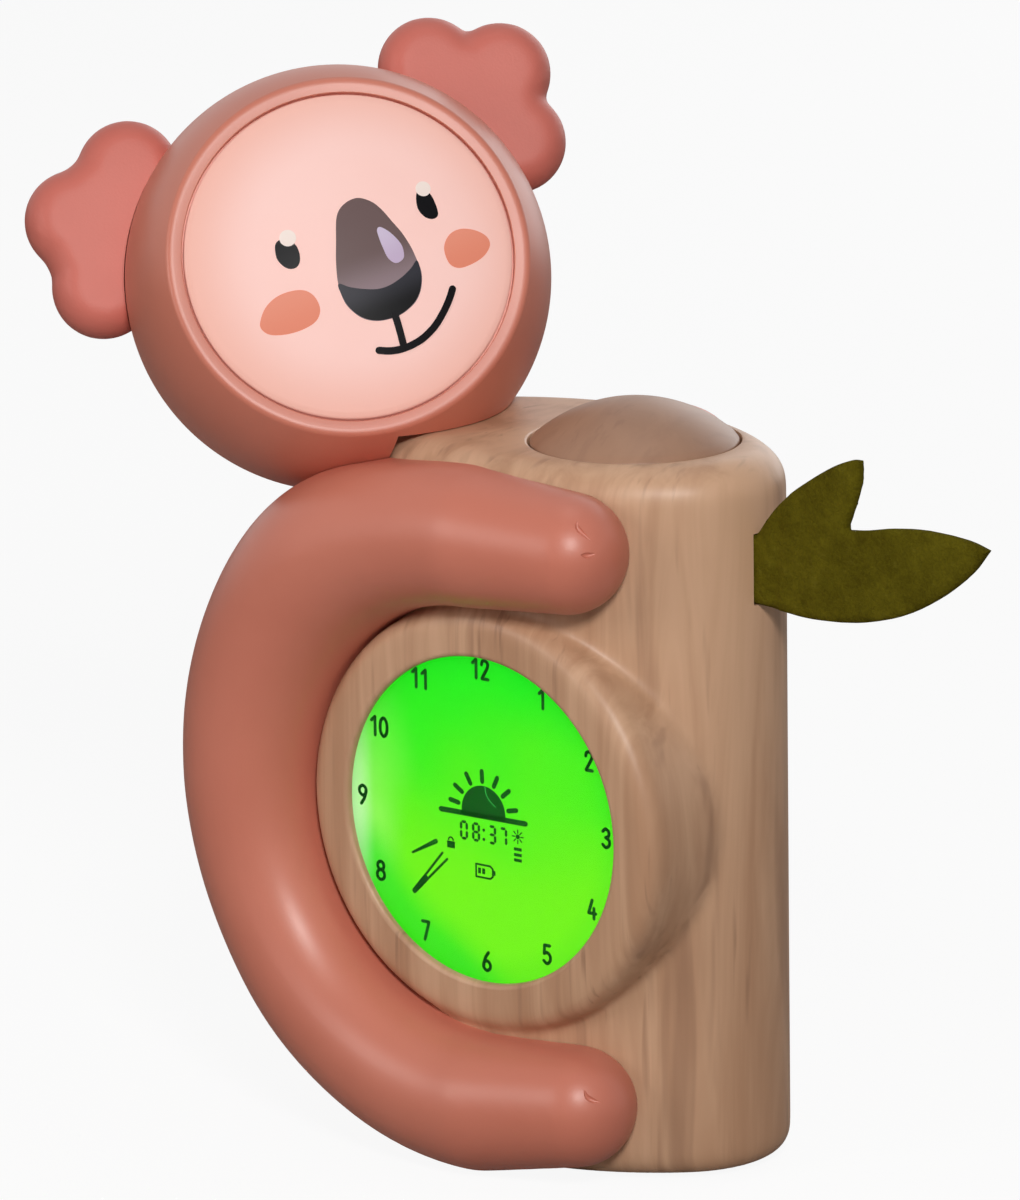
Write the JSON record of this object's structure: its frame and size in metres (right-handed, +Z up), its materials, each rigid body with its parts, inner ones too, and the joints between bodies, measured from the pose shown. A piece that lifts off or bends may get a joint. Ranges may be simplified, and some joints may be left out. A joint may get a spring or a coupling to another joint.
{
  "type": "alarm clock",
  "caption": "Children's alarm clock with a night light: a koala hugs a tree trunk that carries a round display, a big top button and rear keys.",
  "frame": {"origin": "middle of the flat rest face of the anti-slip pad under the trunk", "axes": "+Z up, -Y out of the dial, +X from the koala's back through the trunk to the leaf"},
  "size_m": [0.1839, 0.0846, 0.1886],
  "materials": {
    "trunk_print": "printed wood grain on moulded plastic, semi-matte",
    "cap_print": "soft-touch brown plastic with a faint printed grain",
    "koala_plastic": "satin moulded plastic, terracotta",
    "face_plastic": "translucent satin diffuser with a printed face",
    "display": "lit liquid crystal display",
    "lens": "clear lens",
    "white_plastic": "white moulded plastic",
    "grey_plastic": "dark grey moulded plastic",
    "base_plastic": "brown moulded plastic, fine texture",
    "pad_rubber": "anti-slip foam rubber",
    "board": "green circuit board",
    "steel": "zinc-plated steel",
    "cell": "shrink-wrapped round cell",
    "speaker_black": "black speaker",
    "felt": "olive green wool felt"
  },
  "bodies": {
    "clock_body": {"trunk_shell": "trunk_print", "base_plate": "base_plastic", "base_pad": "pad_rubber", "base_screws": "steel", "dial_lens": "lens", "lcd_panel": "display", "backlight_guide": "white_plastic", "display_frame": "grey_plastic", "display_screws": "steel", "main_board": "board", "board_screws": "steel", "battery_cell": "cell", "battery_cradle": "white_plastic", "cradle_screws": "steel", "speaker": "speaker_black", "speaker_clamp": "grey_plastic", "speaker_screws": "steel", "key_board": "board", "key_board_screws": "steel", "charging_socket": "steel", "socket_board": "board", "socket_screws": "steel", "button_bracket": "grey_plastic", "bracket_screws": "steel", "button_board": "board", "koala_front": "koala_plastic", "koala_rear": "koala_plastic", "body_screws": "steel", "head_front_shell": "koala_plastic", "head_rear_shell": "koala_plastic", "face_panel": "face_plastic", "light_cup": "white_plastic", "led_board": "white_plastic", "head_screws": "steel", "light_screws": "steel", "ear_left": "koala_plastic", "ear_right": "koala_plastic", "neck_tube": "grey_plastic", "neck_nut": "grey_plastic", "leaf": "felt", "leaf_clip": "grey_plastic", "clip_screws": "steel"},
    "top_button": {"top_button": "cap_print"},
    "set_key": {"set_key": "cap_print"},
    "up_key": {"up_key": "cap_print"},
    "down_key": {"down_key": "cap_print"},
    "alarm_key": {"alarm_key": "cap_print"}
  },
  "joints": [
    {"name": "top_button_press", "type": "slide", "parent": "clock_body", "child": "top_button", "axis": [0, 0, -1], "range_m": [0, 0.0016], "stiffness_N_per_m": 900},
    {"name": "set_key_press", "type": "slide", "parent": "clock_body", "child": "set_key", "axis": [0, -1, 0], "range_m": [0, 0.0006], "stiffness_N_per_m": 1500},
    {"name": "up_key_press", "type": "slide", "parent": "clock_body", "child": "up_key", "axis": [0, -1, 0], "range_m": [0, 0.0006], "stiffness_N_per_m": 1500},
    {"name": "down_key_press", "type": "slide", "parent": "clock_body", "child": "down_key", "axis": [0, -1, 0], "range_m": [0, 0.0006], "stiffness_N_per_m": 1500},
    {"name": "alarm_key_press", "type": "slide", "parent": "clock_body", "child": "alarm_key", "axis": [0, -1, 0], "range_m": [0, 0.0006], "stiffness_N_per_m": 1500}
  ]
}
